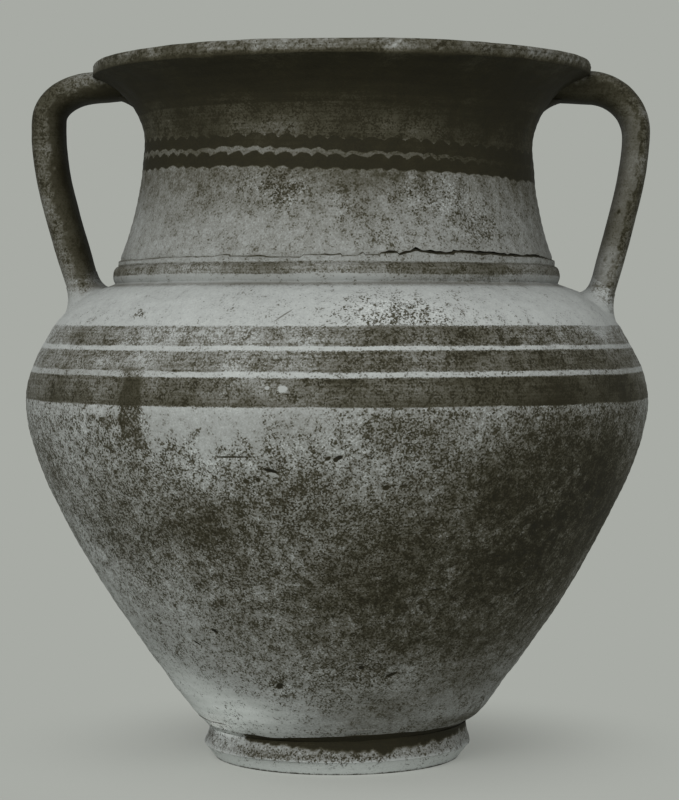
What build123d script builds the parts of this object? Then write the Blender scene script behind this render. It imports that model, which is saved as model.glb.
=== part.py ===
from build123d import *
import os
from math import cos, radians, sin, sqrt

# A two-handled clay storage jar, raised in courses on a slab and luted together.
# Millimetres, +Z up, the jar's axis on Z, the foot's resting face at Z = 0,
# the handles on -X (left) and +X (right).

# Body outline
belly_radius = 250.0
belly_height = 287.0
foot_height = 31.5
foot_neck_radius = 108.3
lower_wall_lean = 42.0
lower_wall_pull = 42.0
belly_pull = 67.0
shoulder_radius = 98.0
collar_radius = 175.5
collar_fillet = 8.0
collar_height = 15.8
wall = 11.0

# Neck and rim
neck_step = 1.7
neck_height = 89.0
neck_base_lean = 110.0
neck_base_pull = 44.0
neck_waist_radius = 155.8
neck_waist_pull = 10.0
flare_height = 67.0
flare_pull = 30.0
rim_radius = 200.0
lip_height = 10.5
lip_lean = 22.0
lip_pull = 24.0
lip_round = 3.5
lip_land = 14.0
mouth_lean = 38.0
mouth_pull = 26.0

# Foot and floor
foot_groove_in = 4.6
foot_hollow = 0.8
foot_arris_radius = 107.7
foot_arris_height = 11.0
foot_rest_radius = 99.0
foot_rest_width = 14.0
foot_inner_lean = 4.0
floor_thickness = 13.0
floor_underside = 15.0
floor_corner = 16.0

# Where one course is luted to the next, as heights on the outside above or below
# the foot's top, the widest girth and the neck's waist
base_joint_above_foot = 5.0
lower_joint_above_foot = 110.5
middle_joint_below_girth = 34.0
belly_joint_above_girth = 46.0
rim_joint_above_waist = 24.0
scarf_rise = 5.0

# Clay added at the joints
collar_band_height = 15.0
collar_band_proud = 4.5
neck_coil_radius = 9.0
floor_coil_radius = 9.0

# Strap handles
strap_width = 46.0
strap_thickness = 24.0
strap_round = 7.0
arm_thickness = 25.5
arm_width = 50.0
arm_below_lip = 5.0
arm_drop = 3.5
handle_stand_off = 51.6
bend_run = 37.0
bend_drop = 34.0
bend_pull_out = 16.0
bend_pull_up = 22.0
drop_pull = 36.0
root_pull = 36.5
root_width = 54.0
root_thickness = 22.5
root_out = 32.0
root_lean = 16.0
root_straight = 34.0
root_sink = 26.0

# Luting clay round the handles' ends
lute_height = 13.0
lute_sink = 20.0
lute_edge = 1.6
lute_spread = 6.5
arm_lute_run = 15.0
arm_lute_drop = 13.0
arm_lute_hollow = 2.0

# How far a cutting shape reaches past what it cuts
reach_past = 4.0

# Shares of a curve at which the inner wall follows the outer, and at which the strap is drawn
body_stations = (0.0, 0.17, 0.33, 0.5, 0.67, 0.83, 1.0)
neck_stations = (0.0, 0.25, 0.5, 0.75, 1.0)
arm_stations = (0.0, 0.25, 0.5, 0.75)
bend_stations = (0.0, 0.3, 0.6, 0.85)
drop_stations = (0.0, 0.33, 0.67)


def heading(degrees):
    """Unit vector in the section plane, counted from the radius towards the axis."""
    return Vector(cos(radians(degrees)), sin(radians(degrees)))


def at_height(curve, height):
    """Share of the curve's length at which a rising curve passes a height."""
    low, high = 0.0, 1.0
    for _ in range(50):
        middle = (low + high) / 2
        if (curve @ middle).Y < height:
            low = middle
        else:
            high = middle
    return (low + high) / 2


def inward(curve, share):
    """Unit vector across the wall, towards the inside, on a rising outer curve."""
    along = (curve % share).normalized()
    return Vector(-along.Y, along.X)


def offset_spline(curve, distance, shares):
    """A smooth curve a wall's thickness inside an outer curve."""
    points = [curve @ s + inward(curve, s) * distance for s in shares]
    return Spline(*points, tangents=[curve % shares[0], curve % shares[-1]])


def revolved(section):
    return revolve(Plane.YZ * section, Axis.Z)


def single(shape):
    return max(shape.solids(), key=lambda solid: solid.volume)


# Outer outline, from the foot's neck up to the lip, drawn with X as the radius
foot_neck = Vector(foot_neck_radius, foot_height)
belly = Vector(belly_radius, belly_height)
lower_curve = Bezier(
    foot_neck,
    foot_neck + heading(lower_wall_lean) * lower_wall_pull,
    belly - heading(90) * belly_pull,
    belly,
)

shoulder_centre = Vector(belly_radius - shoulder_radius, belly_height)
fillet_across = collar_radius + collar_fillet - shoulder_centre.X
fillet_rise = sqrt((shoulder_radius + collar_fillet) ** 2 - fillet_across**2)
fillet_centre = shoulder_centre + Vector(fillet_across, fillet_rise)
to_fillet = (fillet_centre - shoulder_centre).normalized()
shoulder_turn = to_fillet.get_signed_angle(Vector(1, 0), Vector(0, 0, -1))
collar_foot = Vector(collar_radius, fillet_centre.Y)


def shoulder_arc(radius):
    middle = shoulder_centre + heading(shoulder_turn / 2) * radius
    return ThreePointArc(
        shoulder_centre + Vector(radius, 0), middle, shoulder_centre + to_fillet * radius
    )


def collar_arc(radius):
    middle = fillet_centre - heading(shoulder_turn / 2) * radius
    return ThreePointArc(
        fillet_centre - to_fillet * radius, middle, fillet_centre - Vector(radius, 0)
    )


collar_top = collar_foot + Vector(0, collar_height)
neck_base = collar_top - Vector(neck_step, 0)
neck_waist = Vector(neck_waist_radius, neck_base.Y + neck_height)
overall_height = neck_waist.Y + flare_height
neck_curve = Bezier(
    neck_base,
    neck_base + heading(neck_base_lean) * neck_base_pull,
    neck_waist - heading(90) * neck_waist_pull,
    neck_waist,
)
lip_under = Vector(rim_radius, overall_height - lip_height)
flare_curve = Bezier(
    neck_waist,
    neck_waist + heading(90) * flare_pull,
    lip_under - heading(lip_lean) * lip_pull,
    lip_under,
)
lip_side = Vector(rim_radius, overall_height - lip_round)
lip_top = Vector(rim_radius - lip_round, overall_height)
land_inner = lip_top - Vector(lip_land, 0)
outer_outline = [
    lower_curve,
    shoulder_arc(shoulder_radius),
    collar_arc(collar_fillet),
    Line(collar_foot, collar_top),
    Line(collar_top, neck_base),
    neck_curve,
    flare_curve,
    Line(lip_under, lip_side),
    RadiusArc(lip_side, lip_top, -lip_round),
]

# Inner outline, a wall's thickness inside, from the floor up to the mouth
floor_top = floor_underside + floor_thickness
corner_share = at_height(lower_curve, floor_top + floor_corner)
inner_shares = [corner_share + (1 - corner_share) * share for share in body_stations]
inner_lower = offset_spline(lower_curve, wall, inner_shares)
inner_neck = offset_spline(neck_curve, wall, neck_stations)
inner_waist = inner_neck @ 1
mouth_curve = Bezier(
    inner_waist,
    inner_waist + heading(90) * mouth_pull,
    land_inner - heading(mouth_lean) * mouth_pull,
    land_inner,
)
floor_edge = Vector((inner_lower @ 0).X - floor_corner, floor_top)
floor_turn = TangentArc(inner_lower @ 0, floor_edge, tangent=-(inner_lower % 0))
collar_inner = collar_arc(collar_fillet + wall)
seat_run = foot_height - floor_underside
seat_inner = foot_neck - Vector(seat_run, seat_run)
inner_outline = [
    Line(lip_top, land_inner),
    mouth_curve,
    inner_neck,
    Line(inner_neck @ 0, collar_inner @ 1),
    collar_inner,
    shoulder_arc(shoulder_radius - wall),
    inner_lower,
    floor_turn,
    Line(floor_turn @ 1, Vector(0, floor_top)),
    Line(Vector(0, floor_top), Vector(0, floor_underside)),
    Line(Vector(0, floor_underside), seat_inner),
    Line(seat_inner, foot_neck),
]
jar_section = make_face(Curve() + outer_outline + inner_outline)
envelope_section = make_face(
    Curve()
    + outer_outline
    + [Polyline(lip_top, Vector(0, overall_height), Vector(0, foot_height), foot_neck)]
)


# Scarfed joints between the courses: each crosses the wall on a slant
class Joint:
    def __init__(self, curve, height):
        share = at_height(curve, height)
        across = inward(curve, share)
        slant = (across * wall + (curve % share) * scarf_rise).normalized()
        self.outside = curve @ share - slant * reach_past
        self.inside = curve @ share + slant * (wall + scarf_rise + reach_past)


joints = [
    Joint(lower_curve, foot_height + base_joint_above_foot),
    Joint(lower_curve, foot_height + lower_joint_above_foot),
    Joint(lower_curve, belly_height - middle_joint_below_girth),
    Joint(shoulder_arc(shoulder_radius), belly_height + belly_joint_above_girth),
    Joint(Line(collar_foot, collar_top), collar_top.Y),
    Joint(flare_curve, neck_waist.Y + rim_joint_above_waist),
]
course_names = [
    "base_disc",
    "lower_wall",
    "middle_wall",
    "belly_wall",
    "shoulder_wall",
    "neck_wall",
    "rim",
]
far_out = belly_radius + rim_radius
bottom = [Vector(0, -far_out), Vector(far_out, -far_out)]
top = [Vector(far_out, overall_height + far_out), Vector(0, overall_height + far_out)]


def across_joint(joint):
    """The joint's line, carried level to the axis and level to far outside."""
    return [
        Vector(0, joint.inside.Y),
        joint.inside,
        joint.outside,
        Vector(far_out, joint.outside.Y),
    ]


pieces = {}
levels = [bottom] + [across_joint(joint) for joint in joints] + [top[::-1]]
for name, below, above in zip(course_names, levels, levels[1:]):
    course = make_face(Polyline(*below, *above[::-1], close=True))
    pieces[name] = single(revolved(jar_section & course))

# Foot ring, set in under the slab's bevelled edge
foot_arris = Vector(foot_arris_radius, foot_arris_height)
foot_groove = foot_neck - Vector(foot_groove_in, foot_groove_in)
foot_middle = (foot_arris + foot_groove) * 0.5 - Vector(foot_hollow, 0)
foot_inner = Vector(foot_rest_radius - foot_rest_width, 0)
foot_inner_top = Vector(foot_inner.X - foot_inner_lean, floor_underside + floor_thickness / 2)
foot_section = make_face(
    Curve()
    + [
        Line(foot_inner, Vector(foot_rest_radius, 0)),
        Line(Vector(foot_rest_radius, 0), foot_arris),
        ThreePointArc(foot_arris, foot_middle, foot_groove),
        Line(foot_groove, foot_inner_top),
        Line(foot_inner_top, foot_inner),
    ]
)
pieces["foot_ring"] = single(revolved(foot_section - jar_section))

# Rings of clay pressed against the joints: the band outside, the coils inside
band_section = Pos(collar_foot) * Ellipse(collar_band_proud, collar_band_height / 2)
pieces["collar_band"] = single(revolved(band_section - envelope_section))

neck_coil_section = Pos(inner_neck @ 0) * Circle(neck_coil_radius)
pieces["neck_coil"] = single(revolved(neck_coil_section & (envelope_section - jar_section)))
floor_coil_section = Pos(floor_turn @ 0.5) * Circle(floor_coil_radius)
pieces["floor_coil"] = single(revolved(floor_coil_section & (envelope_section - jar_section)))

# Handle on +X: the strap's path in the XZ plane, from inside the rim to inside the shoulder
envelope = revolved(envelope_section)
arm_height = lip_under.Y - arm_below_lip
arm_start = Vector(neck_waist_radius - wall, arm_height)
handle_reach = rim_radius + handle_stand_off
strap_top_radius = handle_reach - strap_thickness / 2
arm_end = Vector(strap_top_radius - bend_run, arm_height - arm_drop)
strap_top = arm_end + Vector(bend_run, -bend_drop)
root_across = collar_radius + root_out - shoulder_centre.X
root_up = sqrt(shoulder_radius**2 - root_across**2)
root = shoulder_centre + Vector(root_across, root_up)
root_rise = heading(90 - root_lean)
root_start = root + root_rise * root_straight
root_end = root - root_rise * root_sink
arm_line = Line(arm_start, arm_end)
bend_curve = Bezier(
    arm_end,
    arm_end + (arm_line % 1) * bend_pull_out,
    strap_top + heading(90) * bend_pull_up,
    strap_top,
)
drop_curve = Bezier(
    strap_top,
    strap_top - heading(90) * drop_pull,
    root_start + root_rise * root_pull,
    root_start,
)
root_line = Line(root_start, root_end)


def strap(curve, share, width, thickness, grow=0.0):
    """The strap's rounded section, square to the path, grown evenly all round."""
    place = curve @ share
    along = curve % share
    plane = Plane(
        origin=(place.X, 0, place.Y), x_dir=(0, 1, 0), z_dir=(along.X, 0, along.Y)
    )
    return plane * RectangleRounded(width + 2 * grow, thickness + 2 * grow, strap_round + grow)


def between(a, b, share):
    return a + (b - a) * share


strap_sections = [strap(arm_line, share, arm_width, arm_thickness) for share in arm_stations]
for share in bend_stations:
    width = between(arm_width, strap_width, share)
    thickness = between(arm_thickness, strap_thickness, share)
    strap_sections += [strap(bend_curve, share, width, thickness)]
for share in drop_stations:
    strap_sections += [strap(drop_curve, share, strap_width, strap_thickness)]
strap_sections += [strap(root_line, 0, strap_width, strap_thickness)]
root_share = root_straight / (root_straight + root_sink)
strap_sections += [strap(root_line, root_share, root_width, root_thickness)]
strap_sections += [strap(root_line, 1, root_width, root_thickness)]
strap_body = loft(strap_sections)
handle = single(strap_body - envelope)

# Clay smeared round the handle's foot, and the wedge packed under its arm
lute_share = (root_straight - lute_height) / (root_straight + root_sink)
lute_end_share = (root_straight + lute_sink) / (root_straight + root_sink)
lute_width = between(strap_width, root_width, lute_share / root_share)
lute_thickness = between(strap_thickness, root_thickness, lute_share / root_share)
root_lute = loft(
    [
        strap(root_line, lute_share, lute_width, lute_thickness, lute_edge),
        strap(root_line, root_share, root_width, root_thickness, lute_spread),
        strap(root_line, lute_end_share, root_width, root_thickness, 2 * lute_spread),
    ]
)
root_lute = single(root_lute - strap_body - envelope - pieces["collar_band"])

under_arm = arm_height - arm_thickness / 2
neck_side = flare_curve @ at_height(flare_curve, under_arm)
wedge_out = Vector(neck_side.X + arm_lute_run, under_arm + arm_drop)
wedge_low = Vector(neck_side.X - arm_lute_hollow, under_arm - arm_lute_drop)
wedge_middle = (wedge_out + wedge_low) * 0.5 + heading(135) * arm_lute_hollow
wedge_inside = Vector(neck_side.X - wall, under_arm + arm_drop)
wedge_section = make_face(
    Curve()
    + [
        ThreePointArc(wedge_out, wedge_middle, wedge_low),
        Polyline(wedge_low, Vector(wedge_inside.X, wedge_low.Y), wedge_inside, wedge_out),
    ]
)
arm_lute = extrude(Plane.XZ * wedge_section, arm_width / 2 - strap_round, both=True)
arm_lute = single(arm_lute - strap_body - envelope)

for side, turn in (("left", 180), ("right", 0)):
    pieces[f"{side}_handle"] = Rot(0, 0, turn) * handle
    pieces[f"{side}_root_lute"] = Rot(0, 0, turn) * root_lute
    pieces[f"{side}_arm_lute"] = Rot(0, 0, turn) * arm_lute

os.makedirs("parts", exist_ok=True)
for name, solid in pieces.items():
    export_step(solid, f"parts/{name}.step")
    print(name, round(solid.volume), solid.is_valid)
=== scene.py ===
# A two-handled clay storage jar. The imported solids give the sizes, and each piece is worked out
# again here with the wobble, chips, paint and weathering of a hand-made one. Lengths in mm.
import functools
import bpy
import numpy as np
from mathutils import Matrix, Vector


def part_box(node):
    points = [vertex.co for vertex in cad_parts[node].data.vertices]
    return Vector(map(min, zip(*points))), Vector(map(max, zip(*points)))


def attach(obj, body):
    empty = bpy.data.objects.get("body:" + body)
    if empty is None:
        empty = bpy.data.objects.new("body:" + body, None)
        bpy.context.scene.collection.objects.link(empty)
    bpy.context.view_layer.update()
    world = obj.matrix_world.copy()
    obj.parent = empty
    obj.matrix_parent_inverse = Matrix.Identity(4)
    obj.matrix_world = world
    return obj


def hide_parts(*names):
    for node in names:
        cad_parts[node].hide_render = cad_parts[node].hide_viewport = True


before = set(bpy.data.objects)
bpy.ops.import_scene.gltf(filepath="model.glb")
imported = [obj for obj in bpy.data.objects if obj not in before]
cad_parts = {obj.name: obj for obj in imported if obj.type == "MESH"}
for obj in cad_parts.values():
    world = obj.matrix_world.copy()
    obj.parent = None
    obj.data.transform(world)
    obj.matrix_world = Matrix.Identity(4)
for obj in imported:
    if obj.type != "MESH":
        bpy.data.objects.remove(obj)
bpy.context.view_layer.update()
mm = 0.001


def reach(node):  # a round node's widest radius, lowest height and highest height
    low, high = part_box(node)
    return high.x / mm, low.z / mm, high.z / mm


def heading(degrees):
    return np.array([np.cos(np.radians(degrees)), np.sin(np.radians(degrees))])


# Cubic curve from a to d, pulled by b and c: each point is the blend of the four
# with weights (1-t)^3, 3(1-t)^2 t, 3(1-t)t^2 and t^3
def pulled(a, b, c, d, count=400):
    t = np.linspace(0, 1, count)[:, None]
    return (1 - t) ** 3 * a + 3 * (1 - t) ** 2 * t * b + 3 * (1 - t) * t**2 * c + t**3 * d


# Circle round a centre, between two angles in degrees
def rounded(centre, radius, start, end, count=200):
    turn = np.radians(np.linspace(start, end, count))
    return centre + radius * np.stack([np.cos(turn), np.sin(turn)], 1)


# Length along a line up to each of its points
def runLength(points):
    return np.r_[0, np.cumsum(np.hypot(*np.diff(points, axis=0).T))]


# Unit way along a line at each of its points
def ways(points):
    along = np.gradient(points, axis=0)
    return along / (np.hypot(along[:, 0], along[:, 1])[:, None] + 1e-12)


# Even steps along a line of points, with one close row inside each end,
# so that the shading runs on unbroken where two pieces meet
def walk(points, step, close=0.3):
    length = runLength(points)
    at = np.linspace(0, length[-1], max(2, int(length[-1] / step) + 1))
    if length[-1] > 3 * close:
        at = np.unique(np.r_[at, close, length[-1] - close])
    return np.stack([np.interp(at, length, points[:, i]) for i in (0, 1)], 1)


# The part of a rising outline between two heights
def stretch(points, low, high):
    edge = np.interp([low, high], points[:, 1], points[:, 0])
    middle = points[(points[:, 1] > low + 1e-6) & (points[:, 1] < high - 1e-6)]
    return np.vstack([[edge[0], low], middle, [edge[1], high]])


# Outline of the jar, as radius and height
jar = {
    "bellyHeight": 287.0,
    "footNeck": (108.3, 31.5),
    "lowerLean": 42.0,
    "lowerPull": 42.0,
    "bellyPull": 67.0,
    "shoulderRadius": 98.0,
    "collarRadius": 175.5,
    "collarFillet": 8.0,
    "collarHeight": 15.8,
    "neckHeight": 89.0,
    "neckLean": 110.0,
    "neckPull": 44.0,
    "waistRadius": 155.8,
    "waistPull": 10.0,
    "flarePull": 30.0,
    "lipHeight": 10.5,
    "lipLean": 22.0,
    "lipPull": 24.0,
    "lipRound": 3.5,
    "lipLand": 14.0,
    "mouthLean": 38.0,
    "mouthPull": 26.0,
    "wall": 11.0,
    "scarfRise": 5.0,
    "floorTop": 28.0,
    "floorUnderside": 15.0,
    "floorCorner": 16.0,
}
bellyRadius = reach("belly_wall")[0]
rimRadius, _, topHeight = reach("rim")
neckBaseRadius = reach("neck_wall")[0]

footNeck = np.array(jar["footNeck"])
belly = np.array([bellyRadius, jar["bellyHeight"]])
lowerCurve = pulled(
    footNeck,
    footNeck + heading(jar["lowerLean"]) * jar["lowerPull"],
    belly - heading(90) * jar["bellyPull"],
    belly,
)
shoulderCentre = belly - np.array([jar["shoulderRadius"], 0])
filletAcross = jar["collarRadius"] + jar["collarFillet"] - shoulderCentre[0]
filletReach = jar["shoulderRadius"] + jar["collarFillet"]
shoulderTurn = np.degrees(np.arccos(filletAcross / filletReach))
filletCentre = shoulderCentre + heading(shoulderTurn) * filletReach
collarFoot = np.array([jar["collarRadius"], filletCentre[1]])
collarTop = collarFoot + np.array([0, jar["collarHeight"]])
bodyOutline = np.vstack(
    [
        lowerCurve,
        rounded(shoulderCentre, jar["shoulderRadius"], 0, shoulderTurn)[1:],
        rounded(filletCentre, jar["collarFillet"], 180 + shoulderTurn, 180)[1:],
        np.linspace(collarFoot, collarTop, 40)[1:],
    ]
)
neckBase = np.array([neckBaseRadius, collarTop[1]])
waist = np.array([jar["waistRadius"], neckBase[1] + jar["neckHeight"]])
lipUnder = np.array([rimRadius, topHeight - jar["lipHeight"]])
neckOutline = np.vstack(
    [
        pulled(
            neckBase,
            neckBase + heading(jar["neckLean"]) * jar["neckPull"],
            waist - heading(90) * jar["waistPull"],
            waist,
        ),
        pulled(
            waist,
            waist + heading(90) * jar["flarePull"],
            lipUnder - heading(jar["lipLean"]) * jar["lipPull"],
            lipUnder,
        )[1:],
    ]
)
outline = np.vstack([bodyOutline, neckOutline, [[rimRadius, topHeight]]])


def outerRadius(height):
    return np.interp(height, outline[:, 1], outline[:, 0])


# Inner face: the outline moved in by the wall, then the mouth's own curve up to the lip
def inside(points):
    along = ways(points)
    return points + jar["wall"] * np.stack([-along[:, 1], along[:, 0]], 1)


innerWaist = waist - np.array([jar["wall"], 0])
landInner = np.array([rimRadius - jar["lipRound"] - jar["lipLand"], topHeight])
mouthCurve = pulled(
    innerWaist,
    innerWaist + heading(90) * jar["mouthPull"],
    landInner - heading(jar["mouthLean"]) * jar["mouthPull"],
    landInner,
)
innerBody = inside(bodyOutline[bodyOutline[:, 1] < collarFoot[1]])
innerNeck = inside(neckOutline[neckOutline[:, 1] < waist[1]])
innerOutline = np.vstack([innerBody, innerNeck, mouthCurve])
innerOutline = innerOutline[np.r_[True, np.diff(np.maximum.accumulate(innerOutline[:, 1])) > 1e-6]]

# Heights on the outside at which one course of clay stands on the next
joints = {
    "base": jar["footNeck"][1] + 5.0,
    "lower": 142.0,
    "middle": jar["bellyHeight"] - 34.0,
    "belly": jar["bellyHeight"] + 46.0,
    "neck": collarTop[1],
    "rim": waist[1] + 24.0,
}


# Height on the inner face at which a joint, slanting up across the wall, comes out
def scarfInside(points, height):
    here = np.searchsorted(points[:, 1], height).clip(1, len(points) - 1)
    along = points[here] - points[here - 1]
    along = along / np.hypot(*along)
    return height + jar["wall"] * along[0] + jar["scarfRise"] * along[1]


# Seeded soft bumps of unit spread: a sum of plane waves in random directions,
# all of about one wavelength
def lumps(spot, size, seed, waves=20):
    pick = np.random.default_rng(seed)
    way = pick.normal(size=(waves, 3))
    way *= (2 * np.pi / size * pick.uniform(0.7, 1.4, waves) / np.linalg.norm(way, axis=1))[:, None]
    phase = pick.uniform(0, 2 * np.pi, waves)
    return np.cos(spot @ way.T + phase).sum(-1) / np.sqrt(waves / 2)


# Bumps of several sizes: how much, size and seed of each
def heaped(spot, layers):
    return sum(amount * lumps(spot, size, seed) for amount, size, seed in layers)


# Smooth step from 0 to 1: 3t^2 - 2t^3
def eased(value, start, end):
    t = np.clip((value - start) / (end - start), 0, 1)
    return t * t * (3 - 2 * t)


# Soft hump, 1 at its middle: e to the minus square of the way from there, counted in widths
def hump(value, middle, width):
    return np.exp(-(((value - middle) / width) ** 2))


# How the jar stands out of true
trueness = {
    "shift": -1.4,  # the body stands this far towards -X, so the leaning rim keeps to the solids' reach
    "neckLean": (4.5, 156.0, 1.3),  # the rim has sagged towards +X: how far, over what height, how bent
    "rimDip": (0.4, -1.1),  # the rim is lower on -X than on +X, and a little sunk all round
    "dipBetween": (440.0, 550.0),
    "footTilt": 2.4,  # the body sits this much crooked on its foot
    "tiltBetween": (6.0, 26.0, 36.0, 80.0),  # heights where that begins, is full, fades and ends
    "lowerSway": (0.7, 80.0, 80.0),  # the lower body bulges towards +X: how far, where, how tall
    "footBulge": (3.0, 42.0, 13.0),  # extra clay over the foot on +X, likewise
    "squeeze": 1.7,  # narrower from front to back
    "shoulderFlat": (2.4, 334.0, 17.0),  # the shoulder is pressed in, likewise
    "dents": [(0.5, 130.0, 5), (0.2, 26.0, 8)],  # from the hands and the knuckles
    "proud": 0.45,  # the dents lie this much further out
    "wheelMarks": (0.12, 7.0),  # depth and spacing
    "wheelSway": [(1.5, 160.0, 3)],
}


def settled(spot):
    x, y, z = spot[..., 0], spot[..., 1], spot[..., 2]
    far, tall, bend = trueness["neckLean"]
    lean = far * np.clip((z - joints["neck"]) / tall, 0, 1.1) ** bend
    far, *place = trueness["lowerSway"]
    sway = far * hump(z, *place)
    far, *place = trueness["footBulge"]
    bulge = far * hump(z, *place) * eased(x / footNeck[0], 0.3, 1.0)
    far, *place = trueness["shoulderFlat"]
    inward = 1 - far * hump(z, *place) / bellyRadius
    tip, sunk = trueness["rimDip"]
    dip = (tip * x / rimRadius + sunk) * eased(z, *trueness["dipBetween"])
    begin, full, fade, end = trueness["tiltBetween"]
    tilt = trueness["footTilt"] * np.clip(x / footNeck[0], -1.2, 1.2)
    crooked = tilt * eased(z, begin, full) * (1 - eased(z, fade, end))
    across = x * inward + lean + sway + bulge + trueness["shift"]
    return np.stack([across, y * inward, z + dip + crooked], -1)


def handRelief(spot):
    deep, spacing = trueness["wheelMarks"]
    ridges = np.sin(2 * np.pi * spot[..., 2] / spacing + heaped(spot, trueness["wheelSway"]))
    return heaped(spot, trueness["dents"]) + trueness["proud"] + deep * ridges


# One strip of a ring's section: points along it, the way each faces, how much of the
# hand's relief it takes, and whether it lies on the outside
def strip(points, step, relief=1.0, outside=1.0):
    points = walk(points, step)
    along = ways(points)
    same = np.ones(len(points))
    return np.stack([*points.T, along[:, 1], -along[:, 0], same * relief, same * outside], 1)


# The same for a straight strip from one point to another
def straight(start, end, *settings):
    return strip(np.array([start, end], float), *settings)


turns = 720
around = np.linspace(0, 2 * np.pi, turns, endpoint=False)
ringSpot = np.stack([np.cos(around), np.sin(around), 0 * around], -1)


# Angle from the front in degrees, + to the right
def fromFront(points):
    return np.degrees(np.arctan2(points[..., 0], -points[..., 1]))


ringAngle = fromFront(ringSpot)

# Single scars: angle from the front, height, half length, half height, slope, and the tone: pale clay laid
# bare by a chip, and for the darkest ones painted shade in a sunk crack or hole
scars = [
    (-6.2, 304.2, 3.7, 2.7, 0.0, 0.58), (-8.9, 304.9, 1.6, 1.2, 0.0, 0.56),
    (-15.0, 255.0, 16.0, 0.6, 0.02, 0.12), (-8.8, 245.4, 6.2, 1.4, -0.2, 0.06),
    (-8.3, 242.6, 4.5, 1.3, -0.25, 0.5), (-13.2, 237.3, 2.4, 1.8, 0.0, 0.14),
    (-11.1, 238.4, 1.8, 1.5, 0.0, 0.12), (3.0, 254.8, 3.0, 1.5, 0.35, 0.06),
    (2.5, 253.4, 1.9, 1.5, 0.0, 0.09), (1.2, 254.4, 2.2, 1.5, 0.4, 0.12),
    (11.5, 232.8, 3.0, 2.0, 0.2, 0.12), (14.5, 234.1, 2.6, 1.1, 0.2, 0.14),
    (24.8, 153.6, 5.0, 0.8, 0.1, 0.11), (48.9, 146.6, 3.5, 1.0, 0.9, 0.08),
    (63.3, 126.8, 3.5, 1.0, 0.9, 0.08), (-7.7, 356.2, 6.5, 0.8, 0.7, 0.4),
    (-29.3, 118.7, 2.6, 1.8, -0.4, 0.07), (-37.4, 106.9, 3.0, 1.2, -0.5, 0.08),
    (-14.9, 75.6, 3.0, 2.4, 0.3, 0.09), (9.5, 91.8, 2.4, 1.6, 0.0, 0.08),
    (18.4, 85.2, 4.6, 1.5, 0.4, 0.09),
]
pit = {
    "darker": 0.13,  # scars darker than this are sunk, their dark tone painted shade in the hollow
    "share": 0.9,  # how deep, against the scar's half height
    "deepest": 1.3,
    "slack": 0.8,  # the dent is longer and taller than the scar by this much
}


# How deep the dark scars are sunk, each a soft dent along and across the scar
def scarDepth(flat):
    depth = np.zeros(flat.shape[:-1])
    for middle, level, halfLong, halfTall, slope, scarTone in scars:
        if scarTone < pit["darker"]:
            off = np.radians(fromFront(flat) - middle) * outerRadius(level)
            up = flat[..., 2] - level - slope * off
            near = hump(off, 0, halfLong + pit["slack"]) * hump(up, 0, halfTall + pit["slack"])
            depth = np.maximum(depth, near * min(pit["deepest"], pit["share"] * halfTall))
    return depth


# A section carried round the axis: radius r at angle a gives (r cos a, r sin a, z),
# after the relief has pushed each point along the way it faces
def ringPoints(rows):
    r, z, nr, nz, relief, outside = (rows[:, i][:, None] for i in range(6))
    flat = np.stack(np.broadcast_arrays(r * np.cos(around), r * np.sin(around), z), -1)
    push = relief * handRelief(flat) - (outside == 1) * scarDepth(flat)
    r = r + nr * push - trueness["squeeze"] * np.sin(around) ** 2 * r / bellyRadius
    z = z + nz * push
    return np.stack(np.broadcast_arrays(r * np.cos(around), r * np.sin(around), z), -1)


# Faces of a grid that closes on itself across, and along too unless its ends are poles
def gridFaces(rows, across, loop):
    i, j = np.meshgrid(np.arange(rows if loop else rows - 1), np.arange(across), indexing="ij")
    i2, j2 = (i + 1) % rows, (j + 1) % across
    faces = np.stack([i * across + j, i * across + j2, i2 * across + j2, i2 * across + j], -1)
    return faces.reshape(-1, 4).tolist()


# A new object at the origin
def stand(name, data):
    made = bpy.data.objects.new(name, data)
    bpy.context.scene.collection.objects.link(made)
    return made


# A material's or a world's node tree, cleared
def clearedTree(owner):
    owner.use_nodes = True
    owner.node_tree.nodes.clear()
    return owner.node_tree


creaseAngle = 40  # edges sharper than this stay crisp


# Puts a grid of points into a mesh, with its marks as attributes
def makePiece(node, points, material, slot, loop=True, **marks):
    rows, across = points.shape[:2]
    places = settled(points).reshape(-1, 3)
    faces = gridFaces(rows, across, loop)
    if not loop:  # each end row closes on a pole at its middle
        last = (rows - 1) * across
        ends = [places[:across].mean(0), places[last:].mean(0)]
        places = np.vstack([places, ends])
        j = np.arange(across)
        j2 = (j + 1) % across
        faces += np.stack([j2, j, np.full(across, len(places) - 2)], 1).tolist()
        faces += np.stack([last + j, last + j2, np.full(across, len(places) - 1)], 1).tolist()
    mesh = bpy.data.meshes.new(node + "_clay")
    mesh.from_pydata((places * mm).tolist(), [], faces)
    mesh.polygons.foreach_set("use_smooth", np.ones(len(mesh.polygons), bool))
    mesh.set_sharp_from_angle(angle=np.radians(creaseAngle))
    for name, value in marks.items():
        values = np.broadcast_to(value, (rows, across)).reshape(-1)
        values = np.r_[values, np.full(len(places) - len(values), values[-1])]
        mesh.attributes.new(name, "FLOAT", "POINT").data.foreach_set("value", values)
    mesh.materials.append(material)
    piece = stand(node + "_clay", mesh)
    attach(piece, "root")
    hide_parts(node)
    print(piece.name, len(mesh.polygons), "faces")
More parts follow.
